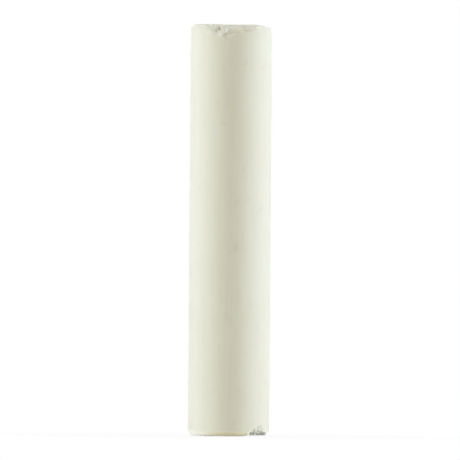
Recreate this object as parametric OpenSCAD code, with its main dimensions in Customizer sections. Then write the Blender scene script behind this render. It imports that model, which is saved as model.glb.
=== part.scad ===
// Round stick of soft pastel, pressed from pigment and chalk in one piece and cut to length.
// It stands on its foot. Handling has worn one shoulder of the top end, has broken the rim at
// the front of the top end, and has crumbled the rim at the right of the foot.
// Millimetres. The origin is the middle of the foot, +Z runs up the stick, -Y is the front
// and +X the right. Places round a rim are in degrees from the front towards the right.

/* [Stick] */
// Diameter of the stick
stick_d = 12.8; // [9:0.1:18]
// Length from the foot to the top end
stick_l = 64.8; // [40:0.1:90]
// Radius of the rounded rim round the foot
foot_round = 1.1; // [0.6:0.05:1.8]
// Radius of the rounded rim round the top end
top_round = 0.85; // [0.3:0.05:1]

/* [Worn shoulder of the top end] */
// Side of the top end that has worn
shoulder_at = 87; // [60:1:120]
// How far the wear reaches in across the end face
shoulder_w = 2.9; // [1:0.1:3.5]
// How far the wear reaches down the wall
shoulder_h = 1.1; // [0.5:0.05:2]

/* [Break in the top rim] */
// Middle of the break, round from the front
top_break_at = -2; // [-20:1:20]
// Length of the break from side to side
top_break_l = 11; // [6:0.1:11.5]
// Depth of the break down the wall
top_break_h = 1.1; // [0.6:0.05:1.8]
// Reach of the break across the end face
top_break_w = 1.5; // [1:0.05:2.4]
// Share by which the break is deeper at its left end; below 0 it is deeper at its right
top_break_lean = -0.2; // [-0.4:0.05:0.4]
// Share of the wall's curve that the break follows: 0 is straight, 1 runs round with the rim
top_break_bend = 0.5; // [0:0.05:0.8]
// How far the middle of the flake scar lies to the right of the break's
top_flake_x = -0.6; // [-2:0.1:2]
// Width of the flake scar
top_flake_w = 3.9; // [2.5:0.1:7]
// How much further down the wall the scar runs than the break
top_flake_h = 1.25; // [0:0.05:2.5]
// Side of the air pocket that shows in the break
pocket_at = -20; // [-30:1:0]
// How far below the end face the pocket opens
pocket_h = 0.8; // [0.5:0.05:1.2]
// Width of the pocket at its mouth
pocket_d = 0.6; // [0.3:0.05:1]

/* [Break in the foot's rim] */
// Middle of the break, round from the front
foot_break_at = 51; // [30:1:70]
// Length of the break from side to side
foot_break_l = 5.4; // [4:0.1:8]
// Depth of the break up the wall
foot_break_h = 1.3; // [0.8:0.05:1.8]
// Reach of the break across the foot
foot_break_w = 1.3; // [1.1:0.05:1.8]
// Share by which the break is deeper at its left end; below 0 it is deeper at its right
foot_break_lean = 0; // [-0.4:0.05:0.4]
// Share of the wall's curve that the break follows: 0 is straight, 1 runs round with the rim
foot_break_bend = 0.3; // [0:0.05:0.8]
// How far the middle of the flake scar lies to the right of the break's
foot_flake_x = 0.2; // [-1:0.1:1]
// Width of the flake scar
foot_flake_w = 3.6; // [2:0.1:5]
// How much further up the wall the scar runs than the break
foot_flake_h = 0.55; // [0:0.05:1.5]
// Number of hollows that crumbs have fallen out of
crumb_count = 4; // [1:1:5]
// Width of those hollows at their mouths
crumb_d = 0.6; // [0.3:0.05:0.8]
// Distance between those hollows along the rim
crumb_pitch = 0.8; // [0.7:0.05:1]
// Side of the foot that a thin shelf came off
shelf_at = 78; // [60:1:100]
// How far the shelf reaches in across the foot
shelf_w = 3.6; // [2.5:0.1:4.5]
// Thickness of that shelf
shelf_h = 0.17; // [0.1:0.01:0.4]

/* [Broken surfaces] */
// Height of the lumps on a broken surface
lump_h = 0.16; // [0:0.01:0.25]
// How deep the hollows run, as a share of their width
hollow_depth = 1.5; // [0.8:0.1:2]

/* [Hidden] */

stick_r = stick_d / 2;
// How far a cutter stands clear of the skin that it cuts through
clear = 0.2;
// How far the hidden back of a break's cutter stands off the stick
back = 1;
// Pitch of the facets on a broken surface
facet = 0.3;
// Share of the facet's pitch by which its corners stray from an even grid
stray = 0.3;
// Share of a break's reach and depth that is there in one step at its edges
bite = 0.12;
// Power by which a break is dished: 1 is straight across, and more is fuller
dish = 1.6;
// Share of its reach and depth that a break has lost at its ends, where the round wall has
// already fallen away from it
pinch = 0.9;
// Steps along the curve of the worn shoulder
shoulder_steps = 10;
// Power of that curve: 1 is an ellipse, and above it the curve is flatter in its middle
shoulder_power = 1.1;
// How far the sloping edge of the shelf reaches
shelf_edge = 0.5;

// The place at an angle round from the front, so far out from the axis and so high
function round_from_front(at, out, up) = [out * sin(at), -out * cos(at), up];

// How full a flake scar is at a share s of its half span
function scar(s) = abs(s) < 1 ? pow(cos(90 * s), 2) : 0;

// Rolling lumps of a broken surface, from -1 to 1, at u along the rim and v across it
function lumps(u, v) =
    (sin(155 * u + 70 * v) + sin(330 * v - 95 * u + 40) + sin(260 * u + 210 * v + 110)) / 3;

// The stick as it was pressed and cut, with both rims rounded
module whole_stick() {
    rotate_extrude($fn = 128) {
        square([stick_r - foot_round, stick_l - top_round]);
        translate([0, foot_round]) square([stick_r, stick_l - foot_round - top_round]);
        translate([0, foot_round]) square([stick_r - top_round, stick_l - foot_round]);
        translate([stick_r - foot_round, foot_round]) circle(foot_round, $fn = 64);
        translate([stick_r - top_round, stick_l - top_round]) circle(top_round, $fn = 64);
    }
}

// What has gone from one side of an end, outside a curve that starts on the end face, reach in
// from the wall, and ends drop down the wall. The end face lies in z = 0, the stick below it.
module lost_side(at, reach, drop, curve) {
    outside = [[stick_r + clear, -drop], [stick_r + clear, clear], [stick_r - reach, clear]];
    rotate([90, 0, at - 90])
        linear_extrude(stick_d, center = true)
            polygon(concat(outside, curve));
}

// The shoulder that wear has rounded over, along a quarter of a full ellipse
module worn_shoulder() {
    curve = [
        for (i = [1 : shoulder_steps - 1])
            let (turn = 90 * i / shoulder_steps)
            [
                stick_r - shoulder_w * (1 - pow(sin(turn), shoulder_power)),
                -shoulder_h * (1 - pow(cos(turn), shoulder_power))
            ]
    ];
    lost_side(shoulder_at, shoulder_w, shoulder_h, curve);
}

// The thin shelf that came off the foot, with a sloping edge
module shelf() {
    lost_side(shelf_at, shelf_w, shelf_h, [[stick_r - shelf_w + shelf_edge, -shelf_h]]);
}

// What a break has taken from a rim. Its inner side is the broken surface: that starts at the
// wall, break_h down or in the flake scar flake_h further, and comes out on the end face,
// break_w in. It runs beside the round wall for break_l, follows only a share of its curve,
// bend, and so leaves it at both ends. The end face lies in z = 0, the stick below it.
module break_cutter(
    at, break_l, break_h, break_w, lean, bend, flake_x, flake_w, flake_h, seed
) {
    across = norm([break_w, break_h + flake_h]);
    columns = ceil(break_l / facet);
    rows = ceil(across / facet);
    strays = rands(-1, 1, 3 * (columns + 1) * (rows + 1), seed);

    // How far the break has followed the wall's curve at u along it
    function follow(u) = bend * u * u / stick_d;

    // Corner of the broken surface at column i and row j, row 0 being clear of the wall
    // and the last row clear of the end face
    function corner(i, j) =
        let (
            k = 3 * (i * (rows + 1) + j),
            along = i + (i > 0 && i < columns ? stray * strays[k] : 0),
            s = 2 * along / columns - 1,
            t = (j + (j > 0 && j < rows ? stray * strays[k + 1] : 0)) / rows,
            u = s * break_l / 2,
            f = scar(2 * (u - flake_x) / flake_w),
            full = (1 - lean * s) * (1 - pinch * pow(s, 4)),
            lump = lump_h * full * (lumps(u, across * t) + strays[k + 2]) / 2,
            in_share = bite + (1 - bite) * pow(t, 1 / dish + f),
            down_share = 1 - (1 - bite) * pow(t, dish),
            inward = break_w * full * in_share + lump * sin(90 * t),
            down = (break_h * full + flake_h * f) * down_share + lump * cos(90 * t)
        )
        [u, (j == 0 ? -clear : inward) + follow(u) - stick_r, j == rows ? clear : -down];

    // Corner of the cutter's back at column i
    function back_corner(i) =
        let (u = break_l * (i / columns - 0.5))
        [u, follow(u) - stick_r - back, back];

    ring = rows + 2;
    points = [
        for (i = [0 : columns])
            for (j = [0 : rows + 1]) j <= rows ? corner(i, j) : back_corner(i)
    ];
    skin = [
        for (i = [0 : columns - 1])
            for (j = [0 : ring - 1])
                let (
                    a = i * ring + j,
                    b = a + ring,
                    c = (i + 1) * ring + (j + 1) % ring,
                    d = c - ring
                )
                each (i + j) % 2 == 0 ? [[a, b, c], [a, c, d]] : [[a, b, d], [b, c, d]]
    ];
    last = columns * ring;
    ends = [
        for (j = [0 : rows - 1])
            each [[rows + 1, j, j + 1], [last + rows + 1, last + j + 1, last + j]]
    ];
    rotate(at) polyhedron(points = points, faces = concat(skin, ends));
}

// A hollow in a broken surface, with a round mouth of diameter d, that narrows as it runs in
module hollow(at, out, up, d) {
    translate(round_from_front(at, out, up))
        rotate([0, 0, at])
            hull() {
                sphere(d = d, $fn = 10);
                translate([0, hollow_depth * d, 0]) sphere(d = d / 2, $fn = 8);
            }
}

module top_break() {
    break_cutter(
        top_break_at, top_break_l, top_break_h, top_break_w, top_break_lean, top_break_bend,
        top_flake_x, top_flake_w, top_flake_h, seed = 11
    );
    hollow(pocket_at, stick_r - top_break_w / 2, -pocket_h, pocket_d);
}

module foot_break() {
    break_cutter(
        foot_break_at, foot_break_l, foot_break_h, foot_break_w, foot_break_lean, foot_break_bend,
        foot_flake_x, foot_flake_w, foot_flake_h, seed = 23
    );
    out = stick_r - foot_break_w / 2;
    for (i = [0 : crumb_count - 1])
        let (along = crumb_pitch * (i - (crumb_count - 1) / 2))
        hollow(
            foot_break_at + along / out * 180 / PI, out,
            -foot_break_h * (i % 2 == 0 ? 0.34 : 0.26), crumb_d
        );
}

module pastel_stick() {
    color("ivory")
        difference() {
            difference() {
                difference() {
                    whole_stick();
                    translate([0, 0, stick_l]) worn_shoulder();
                    mirror([0, 0, 1]) shelf();
                }
                translate([0, 0, stick_l]) top_break();
            }
            mirror([0, 0, 1]) foot_break();
        }
}

pastel_stick();
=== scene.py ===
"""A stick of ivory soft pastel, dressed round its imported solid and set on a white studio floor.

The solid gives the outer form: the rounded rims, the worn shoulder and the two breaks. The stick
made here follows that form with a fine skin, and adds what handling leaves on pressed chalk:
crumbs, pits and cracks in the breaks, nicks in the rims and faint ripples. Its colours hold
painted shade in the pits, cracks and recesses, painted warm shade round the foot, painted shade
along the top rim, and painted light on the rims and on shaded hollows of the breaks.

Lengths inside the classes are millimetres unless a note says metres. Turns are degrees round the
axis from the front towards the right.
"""

import logging
import math
import random
from dataclasses import dataclass, field
from enum import Enum
from typing import Any, ClassVar, Sequence

import bpy
import numpy as np
from mathutils import Matrix, Vector, noise
from mathutils.bvhtree import BVHTree

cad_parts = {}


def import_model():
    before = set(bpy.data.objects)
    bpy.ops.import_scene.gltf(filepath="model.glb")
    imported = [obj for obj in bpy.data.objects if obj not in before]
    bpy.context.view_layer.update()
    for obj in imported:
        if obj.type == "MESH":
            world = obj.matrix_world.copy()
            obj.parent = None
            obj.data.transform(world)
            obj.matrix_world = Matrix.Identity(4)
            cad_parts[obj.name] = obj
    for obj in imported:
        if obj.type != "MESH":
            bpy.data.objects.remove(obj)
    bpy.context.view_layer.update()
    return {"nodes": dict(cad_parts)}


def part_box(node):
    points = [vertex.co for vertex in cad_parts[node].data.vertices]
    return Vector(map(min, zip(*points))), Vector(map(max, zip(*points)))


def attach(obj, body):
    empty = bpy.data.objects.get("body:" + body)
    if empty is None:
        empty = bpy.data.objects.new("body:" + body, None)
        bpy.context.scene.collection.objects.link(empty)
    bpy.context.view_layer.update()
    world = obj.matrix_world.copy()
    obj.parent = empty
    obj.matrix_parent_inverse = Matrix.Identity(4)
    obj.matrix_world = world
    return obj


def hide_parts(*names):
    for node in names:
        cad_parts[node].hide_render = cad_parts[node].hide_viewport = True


LOG = logging.getLogger("pastel_stick")
METRES = 0.001
NODE = "pastel_stick"

# Places of a colour Mix node's sockets, because their names repeat.
MIX_SHARE, MIX_FIRST, MIX_SECOND, MIX_RESULT = 0, 6, 7, 2
# The ragged edges of marks and nicks: size of their lumps, and layers of finer ones.
EDGE_PITCH = 0.3
EDGE_LAYERS = 2

Colour = tuple[float, float, float]
Quad = tuple[int, int, int, int]
WHITE: Colour = (1.0, 1.0, 1.0)
COOL: Colour = (0.925, 1.0, 1.19)
WARM: Colour = (1.12, 1.0, 0.66)


class Stain(Enum):
    """What colours the chalk at a place, each kept as a share in a layer of the mesh."""

    BROKEN = "broken"
    # Painted shade in pits, cracks and shaded recesses.
    PAINTED_SHADE = "painted_shade"
    # Tan marks in the top break, and painted warm shade round the foot's downward-facing rim.
    TAN_AND_PAINTED_SHADE = "tan_and_painted_shade"
    # Painted shade along the top rim.
    PAINTED_RIM_SHADE = "ash"
    # Painted light that lifts the shade on the rounded rims and in shaded hollows of the breaks.
    PAINTED_LIGHT = "painted_light"


@dataclass(frozen=True)
class Signal:
    """A socket of a shader node, with arithmetic that adds Math nodes.

    Args:
        bench: The bench whose nodes the socket belongs to.
        socket: The output socket that carries the value.
    """

    bench: "NodeBench"
    socket: bpy.types.NodeSocket

    def _worked(self, operation: str, first: Any, second: Any = 0.0, clamp: bool = False) -> "Signal":
        """Adds one Math node.

        Args:
            operation: Name of the Math node's operation.
            first: First value, a Signal or a number.
            second: Second value, a Signal or a number.
            clamp: Whether the result is held between 0 and 1.

        Returns:
            The result as a Signal.
        """
        settings = {"operation": operation, "use_clamp": clamp}
        return self.bench.add("ShaderNodeMath", settings, {0: first, 1: second})

    def __add__(self, other: Any) -> "Signal":
        """Adds a value."""
        return self._worked("ADD", self, other)

    def __radd__(self, other: Any) -> "Signal":
        """Adds itself to a value."""
        return self._worked("ADD", other, self)

    def __sub__(self, other: Any) -> "Signal":
        """Takes a value away."""
        return self._worked("SUBTRACT", self, other)

    def __rsub__(self, other: Any) -> "Signal":
        """Takes itself away from a value."""
        return self._worked("SUBTRACT", other, self)

    def __mul__(self, other: Any) -> "Signal":
        """Multiplies by a value."""
        return self._worked("MULTIPLY", self, other)

    def __rmul__(self, other: Any) -> "Signal":
        """Multiplies a value by itself."""
        return self._worked("MULTIPLY", other, self)

    def held(self) -> "Signal":
        """Keeps the value between 0 and 1."""
        return self._worked("ADD", self, 0.0, clamp=True)

    def over(self, low: float, high: float) -> "Signal":
        """Turns the range from low to high into 0 to 1, held at both ends."""
        return ((self - low) * (1.0 / (high - low))).held()


class NodeBench:
    """Builds the nodes of one material, lamp or world."""

    def __init__(self, tree: bpy.types.NodeTree) -> None:
        """Starts with an empty tree.

        Args:
            tree: The node tree to fill.
        """
        self.tree = tree
        self.tree.nodes.clear()

    def add(
        self,
        kind: str,
        settings: dict[str, Any] | None = None,
        sockets: dict[Any, Any] | None = None,
        output: Any = 0,
    ) -> Signal:
        """Adds one node.

        Args:
            kind: Blender's type name of the node.
            settings: Properties of the node, set before its sockets.
            sockets: Values or Signals by the name or place of their input socket.
            output: Name or place of the output that is wanted.

        Returns:
            The wanted output, or a Signal without a socket for a node that has none.
        """
        node = self.tree.nodes.new(kind)
        for name, value in (settings or {}).items():
            setattr(node, name, value)
        for name, value in (sockets or {}).items():
            socket = node.inputs[name]
            if isinstance(value, Signal):
                self.tree.links.new(value.socket, socket)
            elif isinstance(value, tuple) and len(value) == 3 and socket.type == "RGBA":
                socket.default_value = (*value, 1.0)
            else:
                socket.default_value = value
        return Signal(self, node.outputs[output] if node.outputs else None)

    def mixed(self, share: Any, first: Any, second: Any, blend: str = "MIX") -> Signal:
        """Mixes two colours.

        Args:
            share: Share of the second colour.
            first: First colour.
            second: Second colour.
            blend: How the second colour goes over the first.

        Returns:
            The mixed colour.
        """
        settings = {"data_type": "RGBA", "blend_type": blend, "clamp_factor": True}
        sockets = {MIX_SHARE: share, MIX_FIRST: first, MIX_SECOND: second}
        return self.add("ShaderNodeMix", settings, sockets, output=MIX_RESULT)

    def blended(self, share: Signal, first: Signal, second: Signal) -> Signal:
        """Mixes two shaders by the share of the second."""
        return self.add("ShaderNodeMixShader", None, {0: share, 1: first, 2: second})

    def layer(self, name: str) -> Signal:
        """Reads a layer of the mesh by its name."""
        return self.add("ShaderNodeAttribute", {"attribute_name": name}, output="Fac")

    def places(self, stretch: Colour) -> Signal:
        """Reads the place on the object in metres, times a stretch along each axis."""
        place = self.add("ShaderNodeTexCoord", output="Object")
        return self.add("ShaderNodeVectorMath", {"operation": "MULTIPLY"}, {0: place, 1: stretch})

    def cloud(self, pitch: Colour, detail: float, rough: float = 0.5) -> Signal:
        """Adds a rolling noise.

        Args:
            pitch: Size of its patches along each axis in millimetres.
            detail: How many finer layers it has.
            rough: How strong the finer layers are.

        Returns:
            The noise, from 0 to 1 and mostly near 0.5.
        """
        stretch = tuple(1.0 / (METRES * size) for size in pitch)
        sockets = {"Vector": self.places(stretch), "Scale": 1.0, "Detail": detail, "Roughness": rough}
        return self.add("ShaderNodeTexNoise", None, sockets, output="Fac")


@dataclass(frozen=True)
class Patches:
    """Patches of another colour, where a rolling noise is high.

    Args:
        pitch: Size of the patches along each axis.
        detail: How many finer layers the noise has.
        low: Noise at which a patch starts.
        high: Noise at which its colour is strongest.
        share: How strong it is there.
    """

    pitch: Colour
    detail: float
    low: float
    high: float
    share: float

    def cloud(self, bench: NodeBench) -> Signal:
        """Adds the noise."""
        return bench.cloud(self.pitch, self.detail)

    def shares(self, cloud: Signal) -> Signal:
        """Turns the noise into how strong the colour is."""
        return cloud.over(self.low, self.high) * self.share


@dataclass(frozen=True)
class ChalkFinish:
    """Ivory pigment and chalk pressed into a stick, with what handling has left on it, and with painted
    shade and painted light.

    Colours are linear. Sizes of patches are millimetres.
    """

    body: Colour = (0.76, 0.75, 0.61)
    pale: Colour = (0.80, 0.795, 0.68)
    warm: Colour = (0.72, 0.69, 0.54)
    broken: Colour = (0.92, 0.93, 0.84)
    broken_dark: Colour = (0.84, 0.85, 0.76)
    # Painted light for the rims and shaded hollows.
    painted_light: Colour = (0.90, 0.89, 0.77)
    # Painted shade for pits, cracks and recesses.
    painted_shade: Colour = (0.10, 0.09, 0.06)
    # Painted warm shade round the foot, also the tan of marks in the top break.
    tan_and_painted_shade: Colour = (0.78, 0.71, 0.44)
    # Painted shade along the top rim.
    ash: Colour = (0.60, 0.57, 0.53)
    pit: Colour = (0.58, 0.57, 0.46)
    roughness: float = 0.85
    roughness_stray: float = 0.12
    gloss: float = 0.35
    sheen: float = 0.25
    sheen_roughness: float = 0.5
    mottle: Patches = Patches((3.0, 3.0, 7.0), 3.0, 0.35, 0.75, 0.35)
    streaks: Patches = Patches((0.45, 0.45, 14.0), 2.0, 0.45, 0.8, 0.35)
    specks: Patches = Patches((0.22, 0.22, 0.22), 2.0, 0.66, 0.8, 0.25)
    pits: Patches = Patches((1.7, 1.7, 2.2), 1.0, 0.66, 0.8, 0.2)
    crumb_dark: float = 0.42
    crumb_light: float = 0.62
    grain_pitch: Colour = (0.12, 0.12, 0.12)
    grain_detail: float = 3.0
    grain_rough: float = 0.6
    grain_middle: float = 0.5
    grain_height: float = 0.02
    grain_strength: float = 0.25

    def colour(self, bench: NodeBench) -> Signal:
        """Works out the colour at each place.

        Args:
            bench: The material's bench.

        Returns:
            The colour.
        """
        specks = self.specks.cloud(bench)
        crumbs = bench.mixed(specks.over(self.crumb_dark, self.crumb_light), self.broken_dark, self.broken)
        coats = (
            (self.mottle.shares(self.mottle.cloud(bench)), self.warm),
            (self.streaks.shares(self.streaks.cloud(bench)), self.pale),
            (self.specks.shares(specks), self.warm),
            (self.pits.shares(self.pits.cloud(bench)), self.pit),
            # The next layers paint light and shade: painted light, painted warm shade with tan, painted rim
            # shade, the broken chalk's own colour, and painted shade.
            (bench.layer(Stain.PAINTED_LIGHT.value), self.painted_light),
            (bench.layer(Stain.TAN_AND_PAINTED_SHADE.value), self.tan_and_painted_shade),
            (bench.layer(Stain.PAINTED_RIM_SHADE.value), self.ash),
            (bench.layer(Stain.BROKEN.value), crumbs),
            (bench.layer(Stain.PAINTED_SHADE.value), self.painted_shade),
        )
        colour = self.body
        for share, coat in coats:
            colour = bench.mixed(share, colour, coat)
        return colour

    def made(self, name: str) -> bpy.types.Material:
        """Makes the material.

        Args:
            name: Name of the material.

        Returns:
            The material.
        """
        material = bpy.data.materials.new(name)
        material.use_nodes = True
        bench = NodeBench(material.node_tree)
        grain = bench.cloud(self.grain_pitch, self.grain_detail, self.grain_rough)
        bump_sockets = {
            "Strength": self.grain_strength,
            "Distance": self.grain_height * METRES,
            "Height": grain,
        }
        bump = bench.add("ShaderNodeBump", None, bump_sockets)
        roughness = self.roughness + (grain - self.grain_middle) * self.roughness_stray
        shader = bench.add(
            "ShaderNodeBsdfPrincipled",
            {"distribution": "MULTI_GGX"},
            {
                "Base Color": self.colour(bench),
                "Roughness": roughness,
                "Specular IOR Level": self.gloss,
                "Sheen Weight": self.sheen,
                "Sheen Roughness": self.sheen_roughness,
                "Normal": bump,
            },
        )
        bench.add("ShaderNodeOutputMaterial", None, {"Surface": shader})
        return material


@dataclass(frozen=True)
class Ramp:
    """A range from low to high over which something sets in, with soft ends."""

    low: float | np.ndarray
    high: float | np.ndarray

    def on(self, values: np.ndarray) -> np.ndarray:
        """Rises from 0 to 1 over the range."""
        share = np.clip((values - self.low) / (self.high - self.low), 0.0, 1.0)
        return share * share * (3.0 - 2.0 * share)

    def off(self, values: np.ndarray) -> np.ndarray:
        """Falls from 1 to 0 over the range."""
        return 1.0 - self.on(values)


@dataclass(frozen=True)
class Lumps:
    """Uneven chalk, as a rolling noise.

    Args:
        depth: How far it goes up and down.
        pitch: Size of its largest lumps.
        layers: How many layers it has, each half as large as the one before.
        seed: Shift that makes one noise differ from another.
        stretch: How closely the lumps lie along each axis, as a share.
    """

    depth: float
    pitch: float
    layers: int
    seed: float
    stretch: Colour = (1.0, 1.0, 1.0)

    def at(self, places: np.ndarray, where: np.ndarray) -> np.ndarray:
        """Works out the noise at the vertices where it counts.

        Args:
            places: Places of all vertices.
            where: Which vertices need it.

        Returns:
            The noise, and 0 elsewhere.
        """
        values = np.zeros(len(places))
        stretched = places * self.stretch
        for k in np.flatnonzero(where):
            x, y, z = stretched[k] / self.pitch
            place = Vector((x + self.seed, y - self.seed, z + 2.0 * self.seed))
            values[k] = noise.fractal(place, 1.0, 2.0, self.layers)
        return self.depth * values


@dataclass
class Skin:
    """The stick's fine skin before any wear: rings round the barrel and a square grid on each end.

    Args:
        radius: Radius of the stick.
        length: Length of the stick.
        foot_round: Radius of the rounded rim round the foot.
        top_round: Radius of the rounded rim round the top end.
    """

    radius: float
    length: float
    foot_round: float
    top_round: float
    side_cells: int = 96
    wall_rings: int = 158
    top_rim_rings: int = 8
    foot_rim_rings: int = 16
    fine_pitch: float = 0.1
    wide_pitch: float = 0.55
    fine_reach: float = 2.2
    wide_reach: float = 9.0
    heart: float = 4.0
    fine_steps: int = 4000
    least_out: float = 1e-9
    places: np.ndarray = field(init=False)
    inward: np.ndarray = field(init=False)
    turns: np.ndarray = field(init=False)
    quads: list[Quad] = field(init=False)
    edges: np.ndarray = field(init=False)

    def __post_init__(self) -> None:
        """Lays out the places, the directions inwards, and the faces."""
        self.sectors = 4 * self.side_cells
        outline = self._outline()
        rings = [self._ring(out, up) for out, up in outline]
        self.ring_count = len(rings)
        barrel = np.concatenate(rings)
        top, top_ids = self._end_grid(self.radius - self.top_round, self.length, 0, len(barrel))
        last = (self.ring_count - 1) * self.sectors
        after = len(barrel) + len(top)
        foot, foot_ids = self._end_grid(self.radius - self.foot_round, 0.0, last, after)
        self.places = np.concatenate([barrel, top, foot])
        self.quads = self._barrel_quads() + self._end_quads(top_ids, False) + self._end_quads(foot_ids, True)
        self.turns = np.degrees(np.arctan2(self.places[:, 0], -self.places[:, 1]))
        self.inward = self._inward()
        pairs = np.array([(q[i], q[(i + 1) % 4]) for q in self.quads for i in range(4)])
        self.edges = np.unique(np.sort(pairs, axis=1), axis=0)

    def _wall_heights(self) -> np.ndarray:
        """Spaces the wall's rings closely near both ends and widely between them.

        Returns:
            Heights from the top rim down to the foot's rim.
        """
        high, low = self.length - self.top_round, self.foot_round
        fine = np.linspace(high, low, self.fine_steps)
        end = np.minimum(high - fine, fine - low)
        away = Ramp(self.fine_reach, self.wide_reach).on(end)
        pitch = self.fine_pitch + (self.wide_pitch - self.fine_pitch) * away
        count = np.concatenate([[0.0], np.cumsum(1.0 / (0.5 * (pitch[1:] + pitch[:-1])))])
        wanted = np.linspace(0.0, count[-1], self.wall_rings + 1)
        return np.interp(wanted, count, fine)

    def _outline(self) -> list[tuple[float, float]]:
        """Follows the stick's side from the edge of the top end to the edge of the foot.

        Returns:
            Distances from the axis and heights.
        """
        top_out, top_up = self.radius - self.top_round, self.length - self.top_round
        foot_out = self.radius - self.foot_round
        points = []
        for step in range(self.top_rim_rings):
            lean = math.pi / 2 * step / self.top_rim_rings
            out = top_out + self.top_round * math.sin(lean)
            points.append((out, top_up + self.top_round * math.cos(lean)))
        points += [(self.radius, up) for up in self._wall_heights()]
        for step in range(1, self.foot_rim_rings + 1):
            lean = math.pi / 2 * step / self.foot_rim_rings
            out = foot_out + self.foot_round * math.cos(lean)
            points.append((out, self.foot_round * (1.0 - math.sin(lean))))
        return points

    def _ring(self, out: float, up: float) -> np.ndarray:
        """Places one ring's vertices.

        Args:
            out: Distance from the axis.
            up: Height.

        Returns:
            The places, one a row.
        """
        turn = 2.0 * np.pi * np.arange(self.sectors) / self.sectors
        return np.stack([out * np.sin(turn), -out * np.cos(turn), np.full(self.sectors, up)], axis=1)

    def _end_grid(self, out: float, up: float, rim: int, first: int) -> tuple[np.ndarray, np.ndarray]:
        """Lays a square grid over a round end, with its border on the outermost ring.

        Args:
            out: Radius of the end.
            up: Height of the end.
            rim: Number of the first vertex of the ring that borders it.
            first: Number of the first vertex that the grid adds.

        Returns:
            The places of the vertices added, and the numbers of all the grid's vertices.
        """
        cells = self.side_cells
        ids = np.zeros((cells + 1, cells + 1), dtype=int)
        added = []
        for i in range(cells + 1):
            for j in range(cells + 1):
                a = 2.0 * i / cells - 1.0
                b = 2.0 * j / cells - 1.0
                if abs(a) >= abs(b):
                    reach, turn = a, (math.pi / 4 * b / a if a else 0.0)
                else:
                    reach, turn = b, math.pi / 2 - math.pi / 4 * a / b
                if i in (0, cells) or j in (0, cells):
                    whole = turn + (math.pi if reach < 0 else 0.0)
                    ids[i, j] = rim + round(whole / (2 * math.pi) * self.sectors) % self.sectors
                else:
                    ids[i, j] = first + len(added)
                    added.append((out * reach * math.sin(turn), -out * reach * math.cos(turn), up))
        return np.array(added), ids

    def _barrel_quads(self) -> list[Quad]:
        """Joins neighbouring rings with four-sided faces that look outwards.

        Returns:
            The faces.
        """
        count = self.sectors
        quads = []
        for first in range(0, (self.ring_count - 1) * count, count):
            for sector in range(count):
                after = (sector + 1) % count
                quads.append((first + sector, first + count + sector, first + count + after, first + after))
        return quads

    def _end_quads(self, ids: np.ndarray, downward: bool) -> list[Quad]:
        """Makes an end grid's faces.

        Args:
            ids: Numbers of the grid's vertices.
            downward: Whether the end looks down.

        Returns:
            The faces.
        """
        quads = []
        for i in range(self.side_cells):
            for j in range(self.side_cells):
                quad = (ids[i, j], ids[i, j + 1], ids[i + 1, j + 1], ids[i + 1, j])
                quads.append(tuple(int(n) for n in (quad[::-1] if not downward else quad)))
        return quads

    def _inward(self) -> np.ndarray:
        """Points each vertex inwards, level on the wall, straight on the ends and fanned round the rims.

        Returns:
            Unit directions.
        """
        out = np.hypot(self.places[:, 0], self.places[:, 1])
        kept = np.minimum(out, self.radius - self.heart) / np.maximum(out, self.least_out)
        aim = self.places.copy()
        aim[:, :2] *= kept[:, None]
        aim[:, 2] = np.clip(aim[:, 2], self.heart, self.length - self.heart)
        inward = aim - self.places
        return inward / np.linalg.norm(inward, axis=1)[:, None]

    def depth_under(self, places: np.ndarray) -> np.ndarray:
        """Measures how far places lie under the unworn skin.

        Args:
            places: Places inside the stick or on its skin.

        Returns:
            The depths.
        """
        out = np.hypot(places[:, 0], places[:, 1])
        up = places[:, 2]
        depth = np.minimum(np.minimum(self.radius - out, self.length - up), up)
        for rim, height, sign in ((self.top_round, self.length, 1.0), (self.foot_round, 0.0, -1.0)):
            beside = out - (self.radius - rim)
            above = sign * (up - height) + rim
            corner = (beside > 0) & (above > 0)
            depth = np.where(corner, rim - np.hypot(beside, above), depth)
        return depth

    def relaxed(self, values: np.ndarray, share: np.ndarray, rounds: int) -> np.ndarray:
        """Evens values out between neighbouring vertices.

        Args:
            values: One value a vertex.
            share: How far each vertex gives way to its neighbours, from 0 to 1.
            rounds: How often.

        Returns:
            The evened values.
        """
        first, second = self.edges[:, 0], self.edges[:, 1]
        size = len(values)
        degree = np.bincount(first, minlength=size) + np.bincount(second, minlength=size)
        for _ in range(rounds):
            total = np.bincount(first, values[second], size) + np.bincount(second, values[first], size)
            values = values + share * (total / degree - values)
        return values


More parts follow.
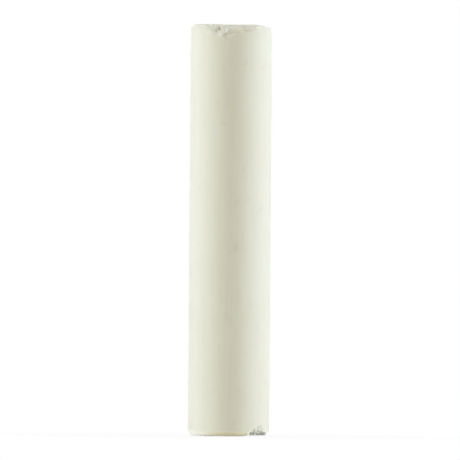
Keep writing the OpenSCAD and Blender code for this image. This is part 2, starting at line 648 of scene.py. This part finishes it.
@dataclass(frozen=True)
class Mark:
    """A small worn place on the front of the wall, an oval seen from the front; many also carry painted
    shade and painted light.

    Args:
        across: Place to the right of the axis.
        up: Height.
        width: Half its length.
        height: Half its breadth.
        lean: Angle by which its length rises to the right.
        sunk: How far it lies below the skin around it, less than 0 for a raised crumb.
        stain: What colours it: broken chalk, tan, painted shade or painted light.
        share: How strongly.
        ragged: How uneven its edge is.
        deep: How far behind the unworn front it reaches.
    """

    across: float
    up: float
    width: float
    height: float
    lean: float = 0.0
    sunk: float = 0.0
    stain: Stain = Stain.PAINTED_SHADE
    share: float = 0.0
    ragged: float = 0.5
    deep: float = 1.9
    soft: ClassVar[float] = 0.3
    reach: ClassVar[float] = 2.5
    edge: ClassVar[Ramp] = Ramp(0.5, 1.3)

    def share_at(self, places: np.ndarray, radius: float) -> np.ndarray:
        """Works out how fully each place lies in the mark.

        Args:
            places: Places of the vertices.
            radius: Radius of the stick.

        Returns:
            Shares from 0 to 1.
        """
        turn = math.radians(self.lean)
        right, above = places[:, 0] - self.across, places[:, 2] - self.up
        along = (right * math.cos(turn) + above * math.sin(turn)) / self.width
        beside = (above * math.cos(turn) - right * math.sin(turn)) / self.height
        away = np.hypot(along, beside)
        behind = places[:, 1] + np.sqrt(np.maximum(radius**2 - places[:, 0] ** 2, 0.0))
        near = (away < self.reach) & (behind < self.deep + self.soft)
        away = away + Lumps(self.ragged, EDGE_PITCH, EDGE_LAYERS, self.across).at(places, near)
        fade = Ramp(self.deep - self.soft, self.deep + self.soft).off(behind)
        return np.where(near, fade * self.edge.off(away), 0.0)


@dataclass(frozen=True)
class NickRow:
    """Nicks that handling has left round a rim, each a small ball of chalk gone.

    Args:
        count: How many.
        at_top: Whether the rim is the top end's.
        inset: How far inside the wall they are centred.
        inwards: How far from the end they are centred.
        least: Radius of the smallest.
        most: Radius of the largest.
        seed: Start of the random draws.
        whole: Half the angle at the front that has none, in degrees.
    """

    count: int
    at_top: bool
    inset: float
    inwards: float
    least: float
    most: float
    seed: int
    whole: float
    # How rare large nicks are, and how long, far-reaching, ragged and deep, in radii.
    rarity: int = 3
    longest: float = 2.2
    reach: float = 1.6
    ragged: float = 0.35
    sunk: float = 0.45
    edge: Ramp = Ramp(0.2, 1.1)

    def lost_at(self, skin: Skin) -> np.ndarray:
        """Works out how much the nicks take away at each vertex.

        Args:
            skin: The stick's skin.

        Returns:
            Depths.
        """
        draw = random.Random(self.seed)
        out = skin.radius - self.inset
        up = skin.length - self.inwards if self.at_top else self.inwards
        lost = np.zeros(len(skin.places))
        for _ in range(self.count):
            turn = math.radians(draw.uniform(self.whole, 360.0 - self.whole))
            size = self.least + (self.most - self.least) * draw.random() ** self.rarity
            long = draw.uniform(1.0, self.longest)
            middle = np.array([out * math.sin(turn), -out * math.cos(turn), up])
            away = skin.places - middle
            along = away @ np.array([math.cos(turn), math.sin(turn), 0.0])
            beside = np.maximum(np.sum(away * away, axis=1) - along * along, 0.0)
            reach = np.sqrt(beside + (along / long) ** 2)
            near = reach < self.reach * size
            reach = reach / size + Lumps(self.ragged, EDGE_PITCH, EDGE_LAYERS, turn).at(skin.places, near)
            lost = np.maximum(lost, np.where(near, self.sunk * size * self.edge.off(reach), 0.0))
        return lost


@dataclass(frozen=True)
class Shallows:
    """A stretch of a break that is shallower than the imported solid's.

    Args:
        share: Share of the depth that is filled in.
        across: Where it sets in, towards the right.
        inwards: Where it sets in, away from the end, or None where it starts at the end.
    """

    share: float
    across: Ramp
    inwards: Ramp | None = None

    def kept(self, inside: np.ndarray, right: np.ndarray, inwards: np.ndarray) -> np.ndarray:
        """Works out the share of the depth that stays.

        Args:
            inside: Whether each vertex lies in the break.
            right: How far each vertex lies to the right of the axis.
            inwards: How far each vertex lies from the end.

        Returns:
            Shares from 0 to 1.
        """
        filled = self.share * inside * self.across.on(right)
        if self.inwards is not None:
            filled = filled * self.inwards.on(inwards)
        return 1.0 - filled


@dataclass(frozen=True)
class BrokenRim:
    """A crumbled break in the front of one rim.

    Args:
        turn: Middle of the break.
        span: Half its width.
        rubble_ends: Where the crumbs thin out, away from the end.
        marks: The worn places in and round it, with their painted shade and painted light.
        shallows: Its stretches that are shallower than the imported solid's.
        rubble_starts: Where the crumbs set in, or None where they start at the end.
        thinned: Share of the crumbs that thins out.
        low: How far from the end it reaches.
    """

    turn: float
    span: float
    rubble_ends: Ramp
    marks: tuple[Mark, ...]
    shallows: tuple[Shallows, ...]
    rubble_starts: Ramp | None = None
    thinned: float = 0.8
    low: float = 3.2

    def holds(self, turns: np.ndarray, inwards: np.ndarray) -> np.ndarray:
        """Tells which vertices lie in the break, from their turns and distances from the end."""
        return (inwards < self.low) & (abs(turns - self.turn) < self.span)

    def rubble(self, touched: np.ndarray, inside: np.ndarray, inwards: np.ndarray) -> np.ndarray:
        """Works out how crumbly each vertex is.

        Args:
            touched: How fully the solid is broken away at each vertex.
            inside: Whether each vertex lies in the break.
            inwards: How far each vertex lies from the end.

        Returns:
            Shares from 0 to 1.
        """
        share = touched * inside
        if self.rubble_starts is not None:
            share = share * self.rubble_starts.on(inwards)
        return share * (1.0 - self.thinned * self.rubble_ends.on(inwards))


TOP_BREAK = BrokenRim(
    turn=-2.0,
    span=50.0,
    rubble_ends=Ramp(1.05, 1.3),
    marks=(
        # These marks paint light and shade besides the wear: dark ones are painted shade in the pit, the
        # cracks, a patch below the pit, the lip and a small hollow; the grey one is painted shade along the
        # top rim; the two raised pale crumbs carry painted light; the tan ones edge the break and add
        # painted shade at the lip; the fresh-chalk ones are broken chalk, most of them raised.
        Mark(-1.88, 64.06, 0.22, 0.12, 68.0, 0.1, Stain.PAINTED_SHADE, 0.18),
        Mark(-2.4, 63.74, 0.42, 0.12, 95.0, 0.1, Stain.PAINTED_SHADE, 0.2),
        Mark(-2.72, 63.66, 0.45, 0.3, 60.0, 0.03, Stain.PAINTED_SHADE, 0.06),
        Mark(-1.4, 63.36, 0.7, 0.44, 25.0, -0.42, Stain.PAINTED_LIGHT, 1.0),
        Mark(-1.72, 63.87, 0.18, 0.18, 0.0, 0.06, Stain.PAINTED_SHADE, 0.12),
        Mark(-0.85, 63.85, 0.45, 0.25, 0.0, -0.3, Stain.BROKEN, 1.0),
        Mark(-0.9, 62.85, 0.6, 0.3, 10.0, -0.12, Stain.PAINTED_LIGHT, 0.4),
        Mark(0.5, 63.5, 0.9, 0.18, 14.0, 0.0, Stain.TAN_AND_PAINTED_SHADE, 0.3),
        Mark(0.8, 63.52, 0.9, 0.2, 12.0, 0.0, Stain.PAINTED_SHADE, 0.09),
        Mark(-0.85, 63.12, 0.4, 0.07, 30.0, 0.03, Stain.PAINTED_SHADE, 0.03),
        Mark(2.07, 64.25, 0.22, 0.22, 0.0, 0.08, Stain.PAINTED_SHADE, 0.16),
        Mark(1.8, 63.8, 1.3, 0.22, 3.0, 0.0, Stain.TAN_AND_PAINTED_SHADE, 0.14),
        Mark(4.25, 64.3, 0.5, 0.12, -10.0, 0.0, Stain.BROKEN, 0.8),
        Mark(-3.9, 64.72, 0.6, 0.1, 0.0, 0.02, Stain.PAINTED_RIM_SHADE, 0.6, deep=0.8),
        Mark(-1.82, 64.62, 0.3, 0.1, 0.0, -0.08, Stain.BROKEN, 0.6),
        Mark(-0.28, 64.15, 0.3, 0.26, 0.0, -0.1, Stain.BROKEN, 1.0),
        Mark(0.35, 64.45, 0.8, 0.3, 0.0, -0.04, Stain.BROKEN, 1.0),
    ),
    shallows=(
        Shallows(0.7, Ramp(-1.2, 0.9), Ramp(0.9, 1.8)),
        Shallows(0.85, Ramp(2.7, 3.4), Ramp(0.45, 0.8)),
    ),
)

FOOT_BREAK = BrokenRim(
    turn=51.0,
    span=24.0,
    rubble_ends=Ramp(0.7, 1.0),
    marks=(
        # Dark marks here are painted shade in the clumps and cracks of the break, which faces down under its
        # overhang; the raised pale mark carries painted light into the flake's shaded hollow.
        Mark(3.7, 0.32, 0.42, 0.27, 0.0, 0.08, Stain.PAINTED_SHADE, 0.65),
        Mark(4.62, 0.22, 0.32, 0.2, 0.0, 0.06, Stain.PAINTED_SHADE, 0.6),
        Mark(5.12, 0.28, 0.3, 0.3, 0.0, 0.08, Stain.PAINTED_SHADE, 0.65),
        Mark(5.05, 0.92, 0.3, 0.22, 0.0, 0.04, Stain.PAINTED_SHADE, 0.1),
        Mark(5.55, 0.32, 0.24, 0.2, 0.0, 0.06, Stain.PAINTED_SHADE, 0.2),
        Mark(4.5, 0.95, 0.55, 0.34, 0.0, -0.22, Stain.PAINTED_LIGHT, 1.0),
        Mark(3.95, 1.0, 0.35, 0.06, 80.0, 0.03, Stain.PAINTED_SHADE, 0.04),
        Mark(4.9, 1.15, 0.5, 0.07, 75.0, 0.06, Stain.PAINTED_SHADE, 0.1),
        Mark(3.45, 0.45, 0.2, 0.3, 0.0, 0.04, Stain.PAINTED_SHADE, 0.25),
        Mark(4.22, 0.22, 0.3, 0.14, 0.0, 0.03, Stain.PAINTED_SHADE, 0.45),
    ),
    shallows=(
        Shallows(1.0, Ramp(4.5, 5.6), Ramp(0.35, 0.65)),
        Shallows(0.7, Ramp(5.6, 6.0)),
    ),
    rubble_starts=Ramp(0.05, 0.35),
)


@dataclass(frozen=True)
class Lift:
    """A stretch of the foot's underside that stands clear of the floor.

    Args:
        high: How high it stands at most.
        across: Where its height changes, from left to right.
        at_left: Whether the high side is the left one.
    """

    high: float
    across: Ramp
    at_left: bool = False

    def rise(self, right: np.ndarray) -> np.ndarray:
        """Works out the height for each distance to the right of the axis."""
        return self.high * (self.across.off(right) if self.at_left else self.across.on(right))


@dataclass(frozen=True)
class CutEnds:
    """The two flat cut ends: drag lines, pores, and a dip behind the top break.

    The dip's Ramps run to the right, apart from dip_back, which runs to the back.
    """

    turn: float = 20.0
    stretch: float = 0.1
    lines: Lumps = Lumps(0.022, 0.7, 3, 9.2)
    pores: Lumps = Lumps(1.0, 0.45, 1, 2.6)
    pore_edge: Ramp = Ramp(0.5, 0.8)
    pore_depth: float = 0.09
    flat: float = 0.01
    margin: float = 0.6
    dip: float = 0.075
    dip_starts: Ramp = Ramp(-3.4, 0.4)
    dip_thins: Ramp = Ramp(2.4, 3.6)
    dip_thinned: float = 0.45
    dip_ends: Ramp = Ramp(4.2, 5.0)
    dip_back: Ramp = Ramp(-5.0, 0.5)
    dip_reach: float = 0.2

    def lost_at(self, skin: Skin) -> np.ndarray:
        """Works out how much the wear of the ends takes away at each vertex.

        Args:
            skin: The stick's skin.

        Returns:
            Depths.
        """
        right, back, up = skin.places.T
        on_end = np.minimum(up, skin.length - up) < self.flat
        edge = skin.radius - skin.foot_round
        face = on_end * Ramp(edge - self.margin, edge).off(np.hypot(right, back))
        turn = math.radians(self.turn)
        along = right * math.cos(turn) + back * math.sin(turn)
        across = back * math.cos(turn) - right * math.sin(turn)
        lines = self.lines.at(np.stack([self.stretch * along, across, up], axis=1), on_end)
        pores = self.pore_edge.on(self.pores.at(skin.places, on_end))
        wide = self.dip_starts.on(right) * (1.0 - self.dip_thinned * self.dip_thins.on(right))
        wide = wide * self.dip_ends.off(right)
        near_front = self.dip_back.off(back) * (up > skin.length - self.dip_reach)
        return face * (lines + self.pore_depth * pores) + self.dip * wide * near_front


@dataclass(frozen=True)
class PaintedFootShade:
    """Painted warm shade and warm reflected light on the foot's rim, which faces down.

    It fades upwards between low and high, unevenly, and to both sides of its middle.
    """

    reach: float = 2.0
    low: float = 0.49
    high: float = 0.89
    uneven: float = 0.05
    blots: Lumps = Lumps(1.0, 1.5, 2, 4.4)
    starts: Ramp = Ramp(0.05, 0.3)
    middle: float = 0.6
    sides: Ramp = Ramp(2.16, 5.4)
    facing: Ramp = Ramp(0.0, 2.0)
    front: float = 0.75
    back: float = 0.4
    blot_edge: Ramp = Ramp(-0.3, 0.3)

    def share_at(self, places: np.ndarray) -> np.ndarray:
        """Works out how strongly each place gets the painted warm shade.

        Args:
            places: Places of the vertices.

        Returns:
            Shares from 0 to 1.
        """
        right, back, up = places.T
        near = up < self.reach
        blots = self.blots.at(places, near)
        height = Ramp(self.low, self.high + self.uneven * blots).off(up) * self.starts.on(up)
        front = self.facing.on(-back) * self.sides.off(np.abs(right - self.middle))
        behind = self.back * self.facing.on(back) * self.blot_edge.on(blots)
        return np.where(near, (self.front * front + behind) * height, 0.0)


@dataclass
class PastelStick:
    """The stick: its skin, the wear on it and its chalk finish.

    Ramps of the skin run away from the nearest end, or to the right or back where named so.
    """

    finish: ChalkFinish
    foot_round: float = 1.1
    top_round: float = 0.85
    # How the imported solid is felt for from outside, and the depth that still counts as whole.
    reach_out: float = 1.0
    slack: float = 0.035
    # How broken places, the flake scar and the worn shoulder even out, and how often.
    give: float = 0.5
    touch: Ramp = Ramp(0.0, 0.15)
    touch_rounds: int = 3
    scar_starts: Ramp = Ramp(0.8, 1.2)
    scar_right: Ramp = Ramp(-0.9, 0.0)
    scar_rounds: int = 30
    shoulder_right: Ramp = Ramp(2.2, 2.8)
    shoulder_back: Ramp = Ramp(-4.9, -4.3)
    shoulder_low: float = 2.0
    shoulder_rounds: int = 14
    # The crumbs, the least share of them that counts, and how far one may stand proud.
    rubble_rounds: int = 2
    rubble_least: float = 0.01
    proud: float = 0.02
    coarse_crumbs: Lumps = Lumps(0.07, 0.5, 3, 3.1)
    fine_crumbs: Lumps = Lumps(0.04, 0.22, 2, 7.7)
    grain: Lumps = Lumps(0.006, 0.5, 2, 1.3)
    ripples: Lumps = Lumps(0.015, 4.0, 2, 5.9, (1.0, 1.0, 0.35))
    # Fresh chalk in the foot's break, and the bands of painted light round both ends, which lift the shade
    # on the rounded rims.
    foot_fresh: float = 0.5
    foot_painted_light: Ramp = Ramp(0.33, 1.1)
    break_painted_light_cut: float = 0.25
    top_painted_light: Ramp = Ramp(0.2, 0.6)
    top_painted_light_share: float = 0.4
    # The gap under the foot, and how steeply the way inwards has to rise in it.
    least_upward: float = 0.3
    lifts: tuple[Lift, ...] = (
        Lift(0.17, Ramp(1.8, 3.2)),
        Lift(0.05, Ramp(-6.0, -1.0)),
        Lift(0.12, Ramp(-6.0, -2.4), at_left=True),
    )
    nicks: tuple[NickRow, ...] = (
        NickRow(56, True, 0.2, 0.2, 0.12, 0.6, 5, 102.0),
        NickRow(26, False, 0.45, 0.4, 0.12, 0.5, 4, 108.0),
    )
    ends: CutEnds = CutEnds()
    # Painted warm shade round the foot.
    painted_foot_shade: PaintedFootShade = PaintedFootShade()
    top_break: BrokenRim = TOP_BREAK
    foot_break: BrokenRim = FOOT_BREAK

    def __post_init__(self) -> None:
        """Takes the stick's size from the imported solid, lays the skin and finds the breaks in it."""
        low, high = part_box(NODE)
        self.radius = (high.x - low.x) / 2 / METRES
        self.length = (high.z - low.z) / METRES
        self.skin = Skin(self.radius, self.length, self.foot_round, self.top_round)
        self.right, self.back, self.up = self.skin.places.T
        self.below = self.length - self.up
        self.in_top = self.top_break.holds(self.skin.turns, self.below)
        self.in_foot = self.foot_break.holds(self.skin.turns, self.up)

    def lost_to(self, solid: bpy.types.Object) -> np.ndarray:
        """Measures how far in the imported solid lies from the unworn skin.

        Args:
            solid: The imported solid.

        Returns:
            Distance inwards at each vertex, and 0 where the solid is whole.
        """
        corners = [corner.co / METRES for corner in solid.data.vertices]
        faces = [tuple(face.vertices) for face in solid.data.polygons]
        tree = BVHTree.FromPolygons(corners, faces)
        lost = np.zeros(len(self.skin.places))
        hits = self.skin.places.copy()
        for k, (place, inward) in enumerate(zip(self.skin.places, self.skin.inward)):
            start = Vector(place - self.reach_out * inward)
            hit, _, _, distance = tree.ray_cast(start, Vector(inward))
            if hit is not None:
                lost[k] = distance - self.reach_out
                hits[k] = hit
        depth = self.skin.depth_under(hits)
        return np.maximum(lost, 0.0) * Ramp(self.slack, 2 * self.slack).on(depth)

    def softened(self, lost: np.ndarray) -> tuple[np.ndarray, np.ndarray]:
        """Rounds off what the solid has lost, and opens the gap under the foot.

        Args:
            lost: Distance inwards to the solid at each vertex.

        Returns:
            The rounded distances, and how fully each vertex is broken away.
        """
        for shallow in self.foot_break.shallows:
            lost = lost * shallow.kept(self.in_foot, self.right, self.up)
        for shallow in self.top_break.shallows:
            lost = lost * shallow.kept(self.in_top, self.right, self.below)
        touched = self.touch.on(lost)
        scar = self.in_top * self.scar_starts.on(self.below) * self.scar_right.on(self.right)
        shoulder = self.shoulder_right.on(self.right) * self.shoulder_back.on(self.back)
        shoulder = shoulder * (self.below < self.shoulder_low)
        lost = self.skin.relaxed(lost, self.give * touched, self.touch_rounds)
        lost = self.skin.relaxed(lost, self.give * scar, self.scar_rounds)
        lost = self.skin.relaxed(lost, self.give * shoulder, self.shoulder_rounds)
        return np.maximum(lost, self.gap_depth()), touched

    def gap_depth(self) -> np.ndarray:
        """Works out how far in the thin gap under the foot reaches, from front to back.

        Returns:
            Depths along the way inwards.
        """
        rise = np.max([lift.rise(self.right) for lift in self.lifts], axis=0)
        upward = self.skin.inward[:, 2]
        depth = (rise - self.up) / np.maximum(upward, self.least_upward)
        return np.where(upward > self.least_upward, depth, 0.0)

    def rubble(self, touched: np.ndarray) -> np.ndarray:
        """Works out where the breaks are crumbly.

        Args:
            touched: How fully each vertex is broken away.

        Returns:
            Shares from 0 to 1.
        """
        at_top = self.top_break.rubble(touched, self.in_top, self.below)
        at_foot = self.foot_break.rubble(touched, self.in_foot, self.up)
        return self.skin.relaxed(at_top + at_foot, np.full(len(self.up), self.give), self.rubble_rounds)

    def relief(self, rubble: np.ndarray) -> np.ndarray:
        """Works out the fine relief, apart from the marks.

        Args:
            rubble: How crumbly each vertex is.

        Returns:
            Depths, less than 0 where chalk stands up.
        """
        places = self.skin.places
        where = rubble > self.rubble_least
        everywhere = np.full(len(places), True)
        relief = rubble * (self.coarse_crumbs.at(places, where) + self.fine_crumbs.at(places, where))
        nicks = [row.lost_at(self.skin) for row in self.nicks]
        relief += sum(nicks[1:], nicks[0]) + self.ends.lost_at(self.skin)
        relief += self.grain.at(places, everywhere)
        relief += self.ripples.at(places, everywhere)
        return relief

    def stains(self, rubble: np.ndarray) -> dict[Stain, np.ndarray]:
        """Works out the broken chalk, the painted warm shade round the foot and the painted light round both
        ends, apart from the marks.

        Args:
            rubble: How crumbly each vertex is.

        Returns:
            Share of each stain at each vertex.
        """
        stains = {stain: np.zeros(len(self.up)) for stain in Stain}
        stains[Stain.BROKEN] = rubble * np.where(self.in_foot, self.foot_fresh, 1.0)
        # Painted warm shade round the foot's downward-facing rim.
        stains[Stain.TAN_AND_PAINTED_SHADE] = self.painted_foot_shade.share_at(self.skin.places)
        # Painted light on the rounded rims at both ends, lifting their shade, with less of it in the foot's
        # break.
        stains[Stain.PAINTED_LIGHT] = (1.0 - self.break_painted_light_cut * self.in_foot) * self.foot_painted_light.off(self.up)
        stains[Stain.PAINTED_LIGHT] += self.top_painted_light_share * self.top_painted_light.off(self.below)
        return stains

    def made(self, solid: bpy.types.Object) -> bpy.types.Object:
        """Builds the worn skin and dresses it.

        Args:
            solid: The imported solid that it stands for.

        Returns:
            The stick.
        """
        places, inward = self.skin.places, self.skin.inward
        lost = self.lost_to(solid)
        LOG.info("deepest loss to the solid: %.2f mm, %d places worn", lost.max(), int((lost > 0).sum()))
        lost, touched = self.softened(lost)
        rubble = self.rubble(touched)
        relief = self.relief(rubble)
        stains = self.stains(rubble)
        surface = places + inward * lost[:, None]
        for mark in self.top_break.marks + self.foot_break.marks:
            share = mark.share_at(surface, self.radius)
            relief += mark.sunk * share
            if mark.stain is Stain.TAN_AND_PAINTED_SHADE:
                stains[Stain.BROKEN] *= 1.0 - share
            stains[mark.stain] = np.maximum(stains[mark.stain], mark.share * share)
        depth = lost + np.maximum(relief, -lost - self.proud)
        return self._object(places + inward * depth[:, None], stains)

    def _object(self, worn: np.ndarray, stains: dict[Stain, np.ndarray]) -> bpy.types.Object:
        """Turns the worn skin into an object on its body.

        Args:
            worn: Places of the vertices.
            stains: Share of each stain at each vertex.

        Returns:
            The stick.
        """
        mesh = bpy.data.meshes.new("chalk_skin")
        mesh.from_pydata((worn * METRES).tolist(), [], self.skin.quads)
        mesh.polygons.foreach_set("use_smooth", [True] * len(mesh.polygons))
        for stain, share in stains.items():
            layer = mesh.attributes.new(stain.value, "FLOAT", "POINT")
            layer.data.foreach_set("value", np.clip(share, 0.0, 1.0).astype(np.float32))
        mesh.materials.append(self.finish.made("ivory_chalk"))
        mesh.update()
        stick = bpy.data.objects.new("chalk_stick", mesh)
        bpy.context.scene.collection.objects.link(stick)
        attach(stick, "root")
        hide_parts(NODE)
        return stick


@dataclass(frozen=True)
class Softbox:
    """A tall soft lamp that faces the stick.

    Args:
        name: Name of the lamp.
        turn: Side that it stands on, from the front towards the right.
        spread: Angle that its width covers, seen from the stick.
        power: Power in watts.
        colour: Colour of the light.
        lift: Angle above the level at which it hangs.
        distance: Distance from the stick in metres.
        height: Height of the lamp in metres.
    """

    name: str
    turn: float
    spread: float
    power: float
    colour: Colour = WHITE
    lift: float = 0.0
    distance: float = 0.4
    height: float = 0.26

    def lit(self, aim: Vector) -> bpy.types.Object:
        """Adds the lamp.

        Args:
            aim: The place that it faces.

        Returns:
            The lamp.
        """
        data = bpy.data.lights.new(self.name, "AREA")
        data.shape = "RECTANGLE"
        data.size = 2 * self.distance * math.tan(math.radians(self.spread / 2))
        data.size_y = self.height
        data.energy = self.power
        data.color = self.colour
        lamp = bpy.data.objects.new(self.name, data)
        lamp.visible_camera = False
        side, lift = math.radians(self.turn), math.radians(self.lift)
        level = Vector((math.sin(side), -math.cos(side), 0.0))
        away = level * math.cos(lift) + Vector((0.0, 0.0, math.sin(lift)))
        lamp.location = aim + away * self.distance
        lamp.rotation_mode = "QUATERNION"
        lamp.rotation_quaternion = away.to_track_quat("Z", "Y")
        bpy.context.scene.collection.objects.link(lamp)
        return lamp


@dataclass(frozen=True)
class Studio:
    """A white floor, soft lamps and the camera.

    What the camera keeps in view, the floor's reach and where its glow sets in are in metres.
    """

    middle_height: float = 32.455
    frame_height: float = 72.43
    camera_distance: float = 2800.0
    camera_roll: float = 0.42
    sensor: float = 36.0
    lamps: tuple[Softbox, ...] = (
        Softbox("lamp_right", 84.0, 30.0, 2.01, COOL),
        Softbox("lamp_left", -80.0, 26.0, 1.79, COOL),
        Softbox("fill_left", -30.0, 30.0, 0.187, WARM, 15.0),
        Softbox("fill_right", 40.0, 30.0, 0.07, WARM, 15.0),
        Softbox("lamp_back", 180.0, 30.0, 1.0),
        Softbox("lamp_top", 0.0, 40.0, 0.7, lift=90.0, height=0.3),
    )
    clip_near: float = 0.01
    clip_far: float = 20.0
    ambient: float = 0.10
    floor_reach: float = 1.5
    floor_card: Colour = (0.92, 0.92, 0.92)
    glow_from: float = 0.01
    glow_to: float = 0.05
    glow_least: float = 0.87

    def camera(self) -> bpy.types.Object:
        """Sets up the camera square to the front, rolled as the photograph's is.

        Returns:
            The camera.
        """
        data = bpy.data.cameras.new("camera")
        data.sensor_width = self.sensor
        data.lens = self.sensor * self.camera_distance / self.frame_height
        data.clip_start = self.clip_near
        data.clip_end = self.clip_far
        camera = bpy.data.objects.new("camera", data)
        roll = math.radians(self.camera_roll)
        right = Vector((math.cos(roll), 0.0, math.sin(roll)))
        upward = Vector((-math.sin(roll), 0.0, math.cos(roll)))
        back = Vector((0.0, -1.0, 0.0))
        pose = Matrix((right, upward, back)).transposed().to_4x4()
        pose.translation = Vector((0.0, -self.camera_distance, self.middle_height)) * METRES
        camera.matrix_world = pose
        bpy.context.scene.collection.objects.link(camera)
        bpy.context.scene.camera = camera
        return camera

    def backdrop_rays(self, bench: NodeBench) -> Signal:
        """Tells the rays that should meet plain white from those that carry light.

        Args:
            bench: The bench of the material or world.

        Returns:
            1 for a ray that should meet white.
        """
        names = ("Is Camera Ray", "Is Glossy Ray", "Is Transmission Ray")
        seen, glossy, through = (bench.add("ShaderNodeLightPath", output=name) for name in names)
        return (seen + glossy + through).held()

    def world(self) -> None:
        """Lights the scene with a dim even sky that looks white."""
        world = bpy.data.worlds.new("studio_air")
        world.use_nodes = True
        bpy.context.scene.world = world
        bench = NodeBench(world.node_tree)
        seen = self.backdrop_rays(bench)
        dim = bench.add("ShaderNodeBackground", None, {"Color": WARM, "Strength": self.ambient})
        white = bench.add("ShaderNodeBackground", None, {"Color": WHITE, "Strength": 1.0})
        bench.add("ShaderNodeOutputWorld", None, {"Surface": bench.blended(seen, dim, white)})

    def floor(self) -> bpy.types.Object:
        """Lays the white floor, which keeps the stick's soft shadow.

        Returns:
            The floor.
        """
        reach = self.floor_reach
        corners = [(-reach, -reach, 0.0), (reach, -reach, 0.0), (reach, reach, 0.0), (-reach, reach, 0.0)]
        mesh = bpy.data.meshes.new("floor")
        mesh.from_pydata(corners, [], [(0, 1, 2, 3)])
        floor = bpy.data.objects.new("floor", mesh)
        bpy.context.scene.collection.objects.link(floor)
        material = bpy.data.materials.new("white_floor")
        material.use_nodes = True
        bench = NodeBench(material.node_tree)
        seen = self.backdrop_rays(bench)
        card = bench.add("ShaderNodeBsdfDiffuse", None, {"Color": self.floor_card})
        place = bench.add("ShaderNodeTexCoord", output="Object")
        away = bench.add("ShaderNodeVectorMath", {"operation": "LENGTH"}, {0: place}, output="Value")
        glow = bench.add("ShaderNodeEmission", None, {"Color": WHITE, "Strength": 1.0})
        share = away.over(self.glow_from, self.glow_to) * (1.0 - self.glow_least) + self.glow_least
        look = bench.blended(seen, card, bench.blended(share, card, glow))
        bench.add("ShaderNodeOutputMaterial", None, {"Surface": look})
        mesh.materials.append(material)
        return floor

    def built(self) -> None:
        """Sets up the whole studio."""
        self.camera()
        self.world()
        self.floor()
        aim = Vector((0.0, 0.0, self.middle_height * METRES))
        for lamp in self.lamps:
            lamp.lit(aim)
        bpy.context.scene.view_settings.view_transform = "Standard"


def main() -> None:
    """Builds the studio and the stick."""
    logging.basicConfig(level=logging.INFO, format="%(name)s: %(message)s")
    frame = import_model()
    Studio().built()
    stick = PastelStick(ChalkFinish()).made(frame["nodes"][NODE])
    LOG.info("%s: %d faces", stick.name, len(stick.data.polygons))


if __name__ == "__main__":
    main()
